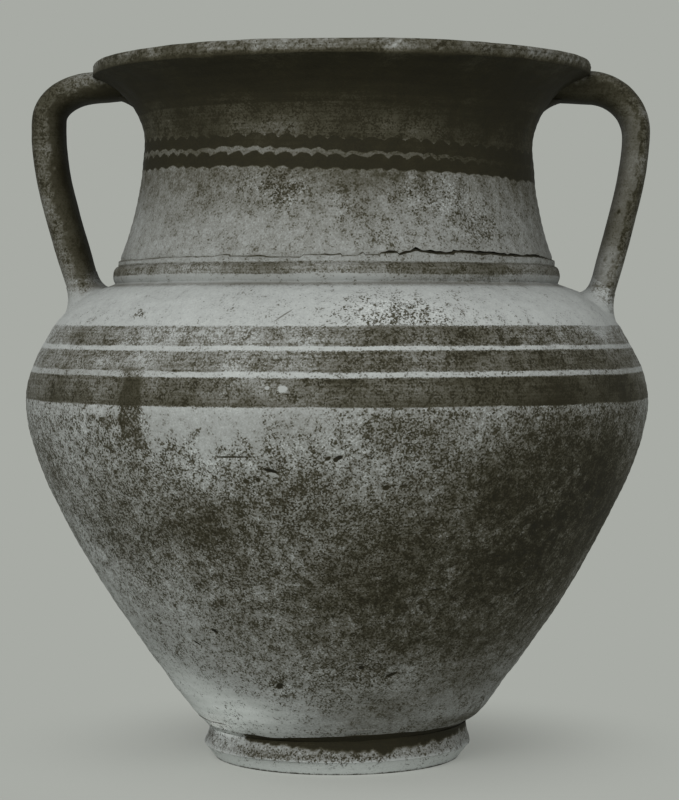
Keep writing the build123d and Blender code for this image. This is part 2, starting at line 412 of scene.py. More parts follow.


# Weathering of the outside. By height: how stained, and what share is covered by dark specks.
# Then soft spots: angle from the front, height, half width, half height, and what each adds; some stain
# spots are painted shade and some painted light, as marked
weather = [
    (0, -0.3, 0.08), (10, -0.2, 0.14), (14, 0.45, 0.25), (24, 0.6, 0.28), (30, 0.4, 0.32),
    (45, 0.34, 0.28), (80, 0.7, 0.36), (110, 0.97, 0.4), (160, 0.91, 0.44), (230, 0.76, 0.46),
    (262, 0.53, 0.42), (285, 0.4, 0.34), (300, 0.16, 0.2), (340, 0.12, 0.045), (376, 0.12, 0.035),
    (390, 0.37, 0.15), (405, 0.54, 0.13), (425, 0.6, 0.16), (440, 0.74, 0.2), (452, 0.88, 0.22),
    (464, 1.05, 0.24), (500, 0.6, 0.25), (560, 0.5, 0.25),
]
weatherAndShadingSpots = {
    "stain": [
        (62, 215, 120, 90, 0.72), (50, 228, 40, 34, 0.25), (30, 200, 80, 60, 0.35),
        (50, 272, 110, 26, 0.28), (18, 280, 50, 14, 0.3), (-3, 279, 22, 13, 0.15),
        (-52, 314, 70, 4, 0.3), (44, 110, 60, 40, 0.18), (12, 140, 60, 32, 0.3), (40, 62, 60, 20, 0.17),
        (14, 48, 40, 18, 0.35), (62, 36, 50, 6, 0.6), (55, 356, 80, 20, -0.14),
        (-24, 206, 30, 18, 0.45), (31, 238, 30, 30, 0.3), (-22, 248, 34, 16, -0.25),
        # the spots at -60 to -76 degrees between heights 74 and 190 take stain away: painted light on the
        # lower body's left edge
        (-64, 262, 60, 22, -0.05), (-76, 140, 80, 66, -0.6), (-60, 190, 50, 40, -0.15),
        (-66, 74, 50, 40, -0.3), (-38, 116, 60, 40, -0.35), (-48, 60, 60, 26, -0.5),
        (-30, 52, 40, 12, -0.35), (-60, 36, 60, 10, -0.6), (-58, 29, 28, 6, -0.6),
        # the long thin spot at height 380.2 is painted shade along the foot of the collar band, where it
        # meets the shoulder
        (-24, 15, 44, 5, 0.5), (30, 13, 40, 3, 0.2), (0, 380.2, 700, 1.3, 0.5), (14, 460, 40, 10, 0.25),
        # the spot at 70 degrees, height 435, is painted shade on the neck's right side
        (44, 420, 24, 14, 0.2), (70, 435, 44, 40, 0.12),
    ],
    "specks": [
        (52, 272, 110, 24, 0.16), (18, 277, 24, 14, 0.14), (-3, 279, 22, 13, -0.14),
        (35, 324, 110, 15, 0.14), (-24, 206, 26, 16, 0.1), (31, 238, 26, 28, 0.08),
        (-64, 268, 60, 22, 0.06), (-76, 140, 80, 66, -0.12), (-35, 116, 60, 36, -0.08),
        (-48, 60, 60, 26, -0.26), (45, 62, 60, 20, -0.12), (45, 110, 60, 30, -0.06),
        (14.5, 358, 44, 14, 0.5), (36, 352, 60, 10, 0.16), (-39, 357.5, 7, 3, 0.4),
        (-58, 342, 24, 7, 0.25), (-11, 449, 17, 12, 0.3), (-22, 456, 30, 10, 0.12),
        (30, 448, 36, 18, 0.24), (44, 422, 28, 15, 0.26), (18, 414, 30, 10, 0.16),
        (4, 440, 12, 16, 0.14), (-55, 440, 40, 40, -0.06), (-14.9, 75.6, 9, 7, 0.16),
        (14, 88, 18, 7, 0.1), (-24, 16, 44, 6, 0.2), (14, 14, 40, 4, 0.14), (-64, 18, 30, 12, 0.16),
        (10, 44, 60, 8, -0.12),
    ],
    "wear": [
        (40, 322, 70, 60, -0.3), (12, 333, 26, 22, -0.3), (24, 333, 34, 22, -0.25),
        (54, 326, 60, 10, -0.1), (-34, 302, 36, 14, 0.12), (-12, 325, 24, 9, -0.12),
        (11, 342, 18, 9, -0.2), (-24, 324, 22, 8, 0.08), (60, 300, 60, 16, -0.15),
        (66, 346, 26, 8, 0.3), (-70, 322, 40, 40, 0.08), (-28, 340, 40, 8, 0.1),
        (-10, 306, 26, 10, 0.2), (-34, 324, 66, 7.5, 0.2), (180, 320, 160, 40, -0.1),
        (0, 391, 60, 8, 0.05),
    ],
}
# Patches with a plain edge: left and right angle, lowest and highest point,
# and what each adds to the stain and specks
weatherPatches = [
    (-30.5, -9.3, 265.0, 291.0, -0.12, -0.3),  # rubbed clean
    (-36.6, -32.2, 266.0, 317.0, 0.45, 0.22),  # smear
    (-44.5, -36.5, 278.0, 284.0, 0.3, 0.14),
    (-43.3, -37.2, 284.5, 291.0, -0.25, -0.2),
]
patchEdge = {"left": 1.5, "right": 1.2, "low": 4.0, "high": 2.0}  # how softly each edge fades
patchRagged = [(1.6, 17, 61), (1.0, 6, 62)]


def weatheredAndShaded(points):
    angle, z = fromFront(points), points[..., 2]
    radius = np.hypot(points[..., 0], points[..., 1])
    heights, stains, shares = np.transpose(weather)
    marks = {
        "wear": np.zeros(angle.shape),
        "stain": np.interp(z, heights, stains),
        "specks": np.interp(z, heights, shares),
    }
    for mark, spots in weatherAndShadingSpots.items():
        for middle, height, width, tall, amount in spots:
            off = np.radians((angle - middle + 180) % 360 - 180) * radius
            marks[mark] = marks[mark] + amount * hump(off, 0, width) * hump(z, height, tall)
    uneven = heaped(points, patchRagged)
    for left, right, low, high, stain, specks in weatherPatches:
        inFromLeft = np.radians(angle - left) * radius + uneven
        inFromRight = np.radians(right - angle) * radius + 0.3 * uneven
        within = eased(inFromLeft, -patchEdge["left"], patchEdge["left"])
        within = within * eased(inFromRight, -patchEdge["right"], patchEdge["right"])
        within = within * eased(z + 3 * uneven - low, -patchEdge["low"], patchEdge["low"])
        within = within * eased(high - z, -patchEdge["high"], patchEdge["high"])
        marks["stain"] = marks["stain"] + stain * within
        marks["specks"] = marks["specks"] + specks * within
    return marks


def clayRing(node, rows, material, slot, loop=True, change=None, paint=0.0):
    points = ringPoints(rows)
    marks = weatheredAndShaded(points)
    if change is not None:
        points = change(points, rows)
    makePiece(node, points, material, slot, loop, outside=rows[:, 5][:, None], paint=paint, **marks)


# sRGB hex to linear
def colour(code):
    value = np.array([int(code[i : i + 2], 16) for i in (1, 3, 5)]) / 255
    return (*np.where(value < 0.04045, value / 12.92, ((value + 0.055) / 1.055) ** 2.4), 1.0)


# Adds a node with its settings and what goes into its sockets, in their order or by name;
# a leading word is the operation, and None leaves a socket as it is
def put(tree, kind, *sockets, out=0, **settings):
    made = tree.nodes.new("ShaderNode" + kind)
    if sockets and isinstance(sockets[0], str):
        settings["operation"], sockets = sockets[0], sockets[1:]
    filled = list(zip(made.inputs, sockets))
    for key, value in settings.items():
        if key in made.inputs:
            filled.append((made.inputs[key], value))
        else:
            setattr(made, key, value)
    for socket, value in filled:
        if isinstance(value, bpy.types.NodeSocket):
            tree.links.new(value, socket)
        elif value is not None:
            socket.default_value = value
    return made.outputs[out] if made.outputs else made


# Greys of the fired clay from dark slip to fresh flake, spaced evenly, a little olive in the darks
greys = (
    "#0E0C02", "#211E0D", "#3A382B", "#56554D", "#72736E", "#8E918E", "#ABAFAC", "#C8CDCA", "#E5E7E4"
)
clay = {
    "pale": 0.645,  # wash of pale clay over the whole jar
    "bare": 0.42,  # unwashed clay inside
    "slip": 0.105,  # dark slip, where it lies thick
    "cloudSize": 60.0,
    "mottleSize": 8.0,
    "gritSize": 1.4,  # real grit is finer: it and the grains are drawn as coarse as they need to show
    "grainSize": 1.2,
    "grainShare": 0.6,  # single grains among the grit
    "streakLength": 42.0,
    "streakHeight": 1.5,
    "stainDrop": 0.31,  # how far a full stain darkens the wash
    "stainBreak": (0.15, 0.16, 0.3),  # its change by clouds and by mottling, and their share on clean wash
    "grainContrast": (0.08, 0.3),  # on clean and on stained wash
    "speckClump": 0.42,  # how much the mottling gathers the specks
    "speckLevel": (0.68, -0.36, 0.042),  # level to pass, its fall as specks thicken, its change by clouds
    "speckEdge": (-0.065, 0.085),
    "speckCover": (0.95, 0.8),  # where specks are few and where they are dense
    "speckTone": (0.27, 0.125),
    "fleck": 0.08,  # pale flecks between dense specks
    "bumpDepth": 0.5,
    "bumpStrength": 0.7,
    "roughness": 0.85,
    "specular": 0.25,
}
# How the slip is rubbed thin: by streaks, flakes and clouds
rubbing = {"streak": 0.12, "flake": 0.62, "flakeClump": 0.45, "cloud": 0.18, "whereThick": 0.4}
mostly = (0.3, 0.7)  # a noise lies mostly between these

# Painted bands: heights of the lower and upper edge, and how much of the wash the slip still hides
bands = {
    "level": [
        (291.0, 312.0, 0.60),
        (316.3, 331.1, 0.42),
        (334.7, 348.9, 0.36),
        (380.4, 388.5, 0.06),
        (387.8, 396.8, 0.40),
    ],
    "waves": [(466.2, 476.6), (480.4, 490.4)],
    "between": (0.0, 0.75, 0.22, 0.88),  # between the waves the slip fills up from the middle to the right
    "closing": (-0.05, 0.25, 0.0, 1.3),  # and the upper wave comes down on the lower one
    "edge": 1.1,
    "wobble": (0.7, 0.4),  # of the level bands' edges, by clouds and by grit
    "sway": 1.5,  # of the waves, up and down
    "scallops": 72,
    "scallopDepth": 3.2,
    "scallopPace": 0.05,  # how unevenly they were dabbed
    "roughEdges": (0.6, 0.8),  # of the waves, above and below
    "upperSlipAndShade": (0.75, 0.94, 1.05),
    "upperSide": 0.13,  # thicker to the right
    "slope": (-5.2, 0.6),  # the waves rise to the left
    "upperNeck": (486.0, 490.0, 495.0, 520.0, 532.0),  # slip begins, is thin, thickens from and to, is full; the thickening up to the rim is dark slip with painted shade of the rim's shadow
}


# Earthenware, raised by hand, dipped in a pale wash and brushed with dark slip, then buried:
# a dry, matt, chalky face, dark slip worn through to the wash, and fine dark specks of lime and dirt
def earthenware(name, layer):
    material = bpy.data.materials.new(name)
    tree = clearedTree(material)
    add = functools.partial(put, tree)
    soft = bands["edge"] / 2

    # a value moved either way by a noise
    def stirred(value, noise, amount):
        return add("Math", "ADD", value, add("MapRange", noise, *mostly, -amount, amount))

    # slip added between a height on a lower edge and one on an upper edge
    def brushed(hides, lower, slipAndRimShade, low, high, share):
        above = add("MapRange", lower, low - soft, low + soft)
        below = add("MapRange", slipAndRimShade, high + soft, high - soft, 0.0, share)
        return add("Math", "MAXIMUM", hides, add("Math", "MULTIPLY", above, below))

    spot = add("VectorMath", "SCALE", add("TexCoord", out=3), None, None, 1 / mm)
    x, y, z = add("SeparateXYZ", spot).node.outputs
    angle = add("Math", "ARCTAN2", x, add("Math", "MULTIPLY", y, -1.0))
    cloud = add("TexNoise", spot, None, 1 / clay["cloudSize"], 5.0, 0.6)
    mottle = add("TexNoise", spot, None, 1 / clay["mottleSize"], 4.0, 0.62)
    grit = add("TexNoise", spot, None, 1 / clay["gritSize"], 1.5, 0.6)
    cells = add("TexVoronoi", spot, None, 1 / clay["grainSize"], out=1)
    single = add("MapRange", cells, 0.0, 1.0, 0.1, 0.9)
    grains = add("Mix", clay["grainShare"], None, grit, single)
    long, tall = 1 / clay["streakLength"], 1 / clay["streakHeight"]
    drawn = add("VectorMath", "MULTIPLY", spot, (long, long, tall))
    streak = add("TexNoise", drawn, None, 1.0, 3.0, 0.6)

    # wash: mottled, and darkened by staining and painted shading that clouds and mottling break up
    stain = add("Attribute", out=2, attribute_name="stain")
    byCloud, byMottle, onClean = clay["stainBreak"]
    clouded = add("MapRange", cloud, *mostly, -byCloud, byCloud)
    broken = stirred(clouded, mottle, byMottle)
    clean = add("Math", "MULTIPLY", broken, onClean)
    stained = add("Math", "MULTIPLY_ADD", stain, add("Math", "ADD", broken, 1.0), clean)
    wash = add("Math", "MULTIPLY_ADD", stained, -clay["stainDrop"], clay["pale"])
    outside = add("Attribute", out=2, attribute_name="outside")
    wash = add("Mix", outside, None, clay["bare"], wash)
    contrast = add("MapRange", stain, 0.0, 0.8, *clay["grainContrast"])
    grain = add("Math", "MULTIPLY", add("Math", "SUBTRACT", 0.5, grains), contrast)
    tone = add("Math", "ADD", wash, grain)

    # specks where grains and mottling together pass a level that falls as specks thicken
    specks = add("Attribute", out=2, attribute_name="specks")
    start, fall, patch = clay["speckLevel"]
    level = stirred(add("Math", "MULTIPLY_ADD", specks, fall, start), cloud, -patch)
    over = add("Math", "SUBTRACT", add("Mix", clay["speckClump"], None, grains, mottle), level)
    cover = add("MapRange", specks, 0.2, 0.45, *clay["speckCover"])
    speck = add("MapRange", over, *clay["speckEdge"], 0.0, cover, interpolation_type="SMOOTHSTEP")
    fleck = add("MapRange", over, -0.1, -0.2, 0.0, clay["fleck"])
    tone = add("Math", "MULTIPLY_ADD", fleck, add("MapRange", specks, 0.28, 0.4), tone)
    dark = add("MapRange", specks, 0.1, 0.4, *clay["speckTone"])
    tone = add("Mix", speck, None, tone, add("Math", "MULTIPLY_ADD", grain, 0.5, dark))

    # slip: how much of the wash it hides
    hides = add("Attribute", out=2, attribute_name="paint")
    if layer != "plain":
        wear = add("Attribute", out=2, attribute_name="wear")
    if layer == "bands":
        byCloud, byGrit = bands["wobble"]
        line = stirred(stirred(z, cloud, byCloud), grit, byGrit)
        for low, high, share in bands["level"]:
            hides = brushed(hides, line, line, low, high, share)
        painted = add("Math", "GREATER_THAN", hides, 0.05)
        hides = add("Math", "SUBTRACT", hides, add("Math", "MULTIPLY", painted, wear))

        # two waved bands round the neck, dabbed on in scallops, with slip between them
        side = add("Math", "SINE", angle)
        rise, curl = bands["slope"]
        offset = add("Math", "MULTIPLY", side, add("Math", "MULTIPLY_ADD", side, curl, rise))
        curve = add("Math", "SUBTRACT", stirred(z, cloud, bands["sway"]), offset)
        uneven = stirred(angle, cloud, bands["scallopPace"])
        pace = add("Math", "MULTIPLY", uneven, bands["scallops"] / 2)
        scallop = add("Math", "ABSOLUTE", add("Math", "SINE", pace))
        deep = bands["scallopDepth"]
        dab = add("Math", "MULTIPLY_ADD", scallop, -deep, 0.6 * deep)
        upperRough, lowerRough = bands["roughEdges"]
        topped = stirred(add("Math", "ADD", curve, dab), mottle, upperRough)
        sagged = stirred(add("Math", "MULTIPLY_ADD", dab, 0.55, curve), mottle, lowerRough)
        closing = add("MapRange", side, *bands["closing"])
        between = add("MapRange", side, *bands["between"])
        lowerWave, upperWave = bands["waves"]
        hides = brushed(hides, sagged, topped, *lowerWave, 1.0)
        hides = brushed(hides, add("Math", "ADD", sagged, closing), topped, *upperWave, 1.0)
        hides = brushed(hides, sagged, topped, lowerWave[0], upperWave[1], between)

        # and the slipped neck above them, darker up to the rim: dark slip with painted shade of the rim's
        # shadow
        start, thin, thicker, thick, _ = bands["upperNeck"]
        slipAndShadeRise = add("MapRange", z, thicker, thick, *bands["upperSlipAndShade"][:2])
        slipAndRimShade = add("Math", "MULTIPLY", add("MapRange", curve, start, thin), slipAndShadeRise)
        slipAndRimShade = add("Math", "MULTIPLY", slipAndRimShade, add("Math", "MULTIPLY_ADD", side, bands["upperSide"], 1.0))
        hides = add("Math", "MULTIPLY", add("Math", "MAXIMUM", hides, slipAndRimShade), outside)

    # the slip is rubbed thin in streaks, flakes and patches
    flaked = add("Mix", rubbing["flakeClump"], None, grains, mottle)
    streaked = add("MapRange", streak, *mostly, -rubbing["streak"], rubbing["streak"])
    clouded = add("MapRange", cloud, 0.35, 0.65, -rubbing["cloud"], rubbing["cloud"])
    rub = add("Math", "ADD", stirred(streaked, flaked, -rubbing["flake"]), clouded)
    if layer == "slip":
        rub = add("Math", "MULTIPLY", rub, add("Math", "SUBTRACT", 1.0, wear))
    rub = add("Math", "MULTIPLY", rub, add("MapRange", hides, 0.0, 0.2))
    rub = add("Math", "MULTIPLY", rub, add("MapRange", hides, 0.75, 1.0, 1.0, rubbing["whereThick"]))
    hides = add("Math", "ADD", hides, rub, use_clamp=True)
    slip = add("Math", "MULTIPLY_ADD", grain, 0.35, clay["slip"])
    tone = add("Mix", hides, None, tone, slip)

    # scars: ellipses on the face, roughened by the grit and mottling; the dark ones are painted shade of
    # sunk cracks and holes
    ragged = add("MapRange", mottle, *mostly, -0.25, 0.25)
    for middle, level, halfLong, halfTall, slope, scarTone in scars:
        girth = outerRadius(level)
        off = add("Math", "MULTIPLY_ADD", angle, girth, -np.radians(middle) * girth)
        up = add("Math", "SUBTRACT", add("Math", "SUBTRACT", z, level), add("Math", "MULTIPLY", off, slope))
        across, tall = add("Math", "DIVIDE", off, halfLong), add("Math", "DIVIDE", up, halfTall)
        far = add("VectorMath", "LENGTH", add("CombineXYZ", across, tall, grit), out=1)
        scarred = add("MapRange", add("Math", "ADD", far, ragged), 1.25, 0.95)
        tone = add("Mix", scarred, None, tone, scarTone)

    shade = add("ValToRGB", tone)
    stops = shade.node.color_ramp.elements
    while len(stops) < len(greys):
        stops.new(0.5)
    for i, code in enumerate(greys):
        stops[i].position = int(code[1:3], 16) / 255
        stops[i].color = colour(code)
    height = add("Math", "ADD", add("Math", "MULTIPLY", grit, 0.6), mottle)
    height = add("Math", "MULTIPLY_ADD", speck, -0.25, height)
    bump = add("Bump", Strength=clay["bumpStrength"], Distance=clay["bumpDepth"] * mm, Height=height)
    sockets = {"Base Color": shade, "Specular IOR Level": clay["specular"], "Normal": bump}
    add("OutputMaterial", add("BsdfPrincipled", Roughness=clay["roughness"], **sockets))
    return material


washedClay = earthenware("pale washed earthenware", "plain")
bandedClay = earthenware("banded earthenware", "bands")
slippedClay = earthenware("dark slipped earthenware", "slip")
bareClay = earthenware("bare fired clay", "plain")

# Courses of the body: up the outside, across the scarf, and down the inside
courseStep = {"outside": 2.0, "inside": 6.0}
plainCourses = {
    "lower_wall": ("base", "lower", washedClay, "pale_clay"),
    "middle_wall": ("lower", "middle", washedClay, "pale_clay"),
    "belly_wall": ("middle", "belly", bandedClay, "banded_clay"),
}


def course(low, high, points):
    outer = stretch(points, joints[low], joints[high])
    inner = stretch(innerOutline, *(scarfInside(points, joints[name]) for name in (low, high)))
    return np.vstack(
        [strip(outer, courseStep["outside"]), strip(inner[::-1], courseStep["inside"], 0.6, 0.0)]
    )


for node, (low, high, material, slot) in plainCourses.items():
    clayRing(node, course(low, high, bodyOutline), material, slot)

# The neck has shrunk off the shoulder along a crack, a hairline on the left and open on the right,
# that runs under the joint and breaks from one level to another. Line: angle from the front, and
# height against the joint. Open: angle, and how wide
crack = {
    "line": [
        (-180, -3.6), (-59, -4.6), (-44, -3.5), (-29, -3.5), (-26, -2.1), (-24.5, -2.1), (-24, -3.7),
        (-15, -3.5), (-14.5, -4.2), (-6, -4.8), (-5, -2.6), (2, -2.9), (4, -2.2), (4.5, -3.6), (8, -3.3),
        (9.5, -0.8), (10, -2.9), (13.5, -2.6), (14, -1.4), (18, -1.1), (18.5, -2.6), (23, 0.8), (24, -0.1),
        (29, -1.9), (33, -1.8), (33.5, -0.4), (36, -0.1), (42, -1.7), (45, -1.0), (49, -2.2), (66, -2.2),
        (80, -3.4), (180, -3.6),
    ],
    "open": [
        (-180, 0.2), (-60, 0.3), (-27, 0.25), (-25, 0.5), (-23, 0.2), (-16, 0.6), (-14, 0.2), (-5, 0.2),
        (0, 0.5), (4, 0.6), (5, 0.2), (8, 0.3), (9, 1.5), (10, 0.3), (13.5, 0.5), (16, 1.5), (18.5, 0.9),
        (23, 1.7), (40, 1.9), (66, 1.5), (84, 0.6), (100, 0.2), (180, 0.2),
    ],
    "spans": (12.0, 9.0),  # how far up the neck and down the shoulder its edges pull the clay
    # how far from the joint the crack's painted shade and grime reach
    "shadeAndGrimeSpread": 0.15,
    "ragged": [(0.12, 6, 22)],
    "uneven": [(0.2, 10, 23)],
    "least": 0.05,
}
crackSpot = ringSpot * neckBaseRadius
crackRise = np.interp(ringAngle, *np.transpose(crack["line"])) + heaped(crackSpot, crack["ragged"])
crackOpen = np.interp(ringAngle, *np.transpose(crack["open"])) * (1 + heaped(crackSpot, crack["uneven"]))
crackOpen = np.maximum(crackOpen, crack["least"])


# The neck's edge follows the crack, and each point that moves up or down keeps to the neck's outline
def crackedNeck(points, rows):
    near = np.clip(1 - (rows[:, 1] - joints["neck"]) / crack["spans"][0], 0, 1) * rows[:, 5]
    moved = points[..., 2] + near[:, None] * (crackRise + crackOpen)
    now, before = (np.interp(z, neckOutline[:, 1], neckOutline[:, 0]) for z in (moved, points[..., 2]))
    points[..., :2] *= np.where(near[:, None] > 0, now / before, 1)[..., None]
    points[..., 2] = moved
    return points


def crackedShoulder(points, rows):
    near = np.clip(1 - (joints["neck"] - rows[:, 1]) / crack["spans"][1], 0, 1) * rows[:, 5]
    points[..., 2] += near[:, None] * crackRise
    return points


# Painted shade of the open crack, with grime, on the last few tenths of both its edges, darker where it
# gapes wider
def crackShadeAndGrime(rows):
    near = hump(rows[:, 1], joints["neck"], crack["shadeAndGrimeSpread"]) * rows[:, 5]
    return near[:, None] * np.clip(crackOpen * 1.1 + 0.1, 0, 1.05)


crackedCourses = {
    "shoulder_wall": (course("belly", "neck", bodyOutline), crackedShoulder),
    "neck_wall": (course("neck", "rim", neckOutline), crackedNeck),
}
for node, (rows, change) in crackedCourses.items():
    clayRing(node, rows, bandedClay, "banded_clay", change=change, paint=crackShadeAndGrime(rows))

# Rim: the flare, the upright lip, its rounded edge and flat land, and the mouth inside
lip = {
    "slip": 0.54,
    "slipEdge": 4.5,  # it thins out over this much of the lip's side
    "rubbed": [(0.14, 0.0, 30.0), (-0.12, -55.0, 20.0)],  # how much, at what angle, how wide
    "flakes": [(0.12, 4.5, 53), (0.07, 18.0, 54)],
    "mouthSlip": (0.85, 9.0, 1.5),  # inside: how much, how far above the joint it ends, and how softly
    "mouthRagged": [(2.0, 60, 51), (0.8, 14, 52)],
    "mouthRadius": 150,
}
# Chips: angle from the front, how far under the lip's top, size, and depth
chips = [
    (13.4, 2.0, 6.0, 2.4),
    (-8.0, 6.0, 5.0, 1.2),
    (38.0, 8.0, 9.0, 1.4),
    (52.0, 9.0, 7.0, 1.6),
    (-40.0, 3.0, 8.0, 1.2),
]


def chippedLip(points, rows):
    for angle, drop, size, depth in chips:
        middle = np.array([*(heading(angle - 90) * rimRadius), topHeight - drop])
        near = hump(np.linalg.norm(points - middle, axis=-1), 0, size)
        inward = -points * np.array([1, 1, 0]) / rimRadius
        points = points + depth * near[..., None] * inward
    return points


lipSide = np.array([rimRadius, topHeight - jar["lipRound"]])
lipTop = np.array([rimRadius - jar["lipRound"], topHeight])
mouthJoint = scarfInside(neckOutline, joints["rim"])
rimRows = np.vstack(
    [
        strip(stretch(neckOutline, joints["rim"], lipUnder[1]), 2.2),
        straight(lipUnder, lipSide, 1.5),
        strip(rounded(lipTop - np.array([0, jar["lipRound"]]), jar["lipRound"], 0, 90, 12), 1.0, 0.4),
        straight(lipTop, landInner, 2.5, 0.0),
        strip(stretch(mouthCurve, mouthJoint, topHeight)[::-1], 4.0, 0.6, 0.6),
    ]
)
# slip, with painted shade under the flare: thick under the flare, flaking on the lip, thinner inside
slipAndShadeRows = np.interp(
    rimRows[:, 1],
    [*bands["upperNeck"][3:], lipUnder[1] + 0.5, lipUnder[1] + lip["slipEdge"]],
    [*bands["upperSlipAndShade"][1:], bands["upperSlipAndShade"][2] - 0.1, lip["slip"]],
)
lipSpot = rimRows[:, 0][:, None, None] * ringSpot + rimRows[:, 1][:, None, None] * np.array([0, 0, 1])
rubbedLip = sum(amount * hump(ringAngle, middle, wide) for amount, middle, wide in lip["rubbed"])
rubbedLip = rubbedLip + heaped(lipSpot, lip["flakes"])
onLip = eased(rimRows[:, 1:2], lipUnder[1] - 0.5, lipUnder[1] + lip["slipEdge"])
slipHere = slipAndShadeRows[:, None] - rubbedLip * onLip
mouthSlip, slipAbove, slipSoft = lip["mouthSlip"]
slipDown = mouthJoint + slipAbove + heaped(ringSpot * lip["mouthRadius"], lip["mouthRagged"])
inMouth = mouthSlip * eased(rimRows[:, 1:2], slipDown - slipSoft, slipDown + slipSoft)
slipHere = np.where(rimRows[:, 5:] < 0.8, inMouth, slipHere)
clayRing("rim", rimRows, slippedClay, "dark_slip", change=chippedLip, paint=slipHere)

# Foot ring, the slab under the body, and the rolls of clay pressed against the joints
foot = {
    "rest": 99.0,
    "restWidth": 14.0,
    "arris": (107.7, 11.0),
    "grooveIn": 4.6,
    "innerLean": 4.0,
    "slip": [  # lower edge of the slip in the groove: angle from the front, and height
        (-180, 24), (-90, 24), (-66, 31), (-48, 28), (-34, 24), (-15, 22),
        (5, 19.5), (22, 17.5), (40, 20), (60, 22), (80, 22.5), (180, 24),
    ],
    "slipSoft": 1.3,
    "slipRagged": [(0.9, 15, 41), (0.6, 6, 42)],
    "contactShadow": (0.85, 0.8),  # a painted line of contact shadow where the foot stands: how dark and how tall
    "contactShadowPatches": [(0.3, 40, 43)],
}
groove = footNeck - foot["grooveIn"]
restInner = np.array([foot["rest"] - foot["restWidth"], 0])
footTop = np.array([restInner[0] - foot["innerLean"], (jar["floorUnderside"] + jar["floorTop"]) / 2])
arris = np.array(foot["arris"])
footRows = np.vstack(
    [
        straight([foot["rest"], 0], arris, 1.6, 0.0),
        strip(pulled(arris, arris + [-0.6, 3], groove - [0.4, 6], groove, 40), 1.6, 0.8),
        straight(groove, footTop, 5.0, 0.0),
        straight(footTop, restInner, 3.0, 0.0, 0.3),
        straight(restInner, [foot["rest"], 0], 4.0, 0.0),
    ]
)
slipFoot = np.interp(ringAngle, *np.transpose(foot["slip"])) + heaped(ringSpot * 104, foot["slipRagged"])
footPaint = eased(footRows[:, 1:2], slipFoot - foot["slipSoft"], slipFoot + foot["slipSoft"])
# painted contact shadow along the foot's lowest edge, in patches
contactShadow, contactShadowTall = foot["contactShadow"]
contactShadowLine = contactShadow * hump(footRows[:, 1:2], 0, contactShadowTall) * (1 + heaped(ringSpot * 100, foot["contactShadowPatches"]))
footPaint = np.maximum(footPaint, contactShadowLine) * footRows[:, 5:]
clayRing("foot_ring", footRows, washedClay, "pale_clay", paint=footPaint)

seatInner = footNeck - (footNeck[1] - jar["floorUnderside"])
cornerTop = scarfInside(bodyOutline, joints["base"])
cornerEdge = np.array([np.interp(cornerTop, innerOutline[:, 1], innerOutline[:, 0]), cornerTop])
floorEdge = np.array([cornerEdge[0] - jar["floorCorner"], jar["floorTop"]])
floorCorner = pulled(cornerEdge, cornerEdge - [5, 6], floorEdge + [6, 0], floorEdge, 41)
discMiddle = 2.0  # the disc's faces close on a pole inside this radius
discRows = np.vstack(
    [
        straight([discMiddle, jar["floorUnderside"]], seatInner, 6.0, 0.0, 0.0),
        straight(seatInner, footNeck, 2.0, 0.0, 0.6),
        strip(stretch(bodyOutline, footNeck[1], joints["base"]), 1.2),
        straight([outerRadius(joints["base"]), joints["base"]], cornerEdge, 4.0, 0.0, 0.0),
        strip(floorCorner, 3.0, 0.0, 0.0),
        straight(floorEdge, [discMiddle, jar["floorTop"]], 6.0, 0.0, 0.0),
    ]
)
# slip carried up under the body's edge
overhang = (discRows[:, 5:] == 0.6) * eased(26 - slipFoot, -2, 2)
clayRing("base_disc", discRows, bareClay, "bare_clay", loop=False, paint=overhang)

# Rolls: middle, half width, half height, the way to the wall, and how deep towards it the roll is flat
rolls = {
    "collar_band": (collarFoot, 4.5, 7.5, (-1.0, 0.0), 3.0, bandedClay, "banded_clay", 1.0),
    "neck_coil": (neckBase - [jar["wall"], 0], 9.0, 8.6, (1.0, 0.0), 3.0, bareClay, "bare_clay", 0.0),
    "floor_coil": (floorCorner[20], 9.0, 9.0, (0.77, -0.64), 3.0, bareClay, "bare_clay", 0.0),
}
for node, (middle, across, tall, wallWay, pressed, material, slot, outside) in rolls.items():
    turn = np.linspace(-np.pi, np.pi, 60)
    section = np.stack([across * np.cos(turn), tall * np.sin(turn)], 1)
    beyond = np.maximum(section @ np.array(wallWay) - pressed, 0)
    section = middle + section - beyond[:, None] * np.array(wallWay)
    clayRing(node, strip(section, 1.4, 0.8, outside)[:-1], material, slot)

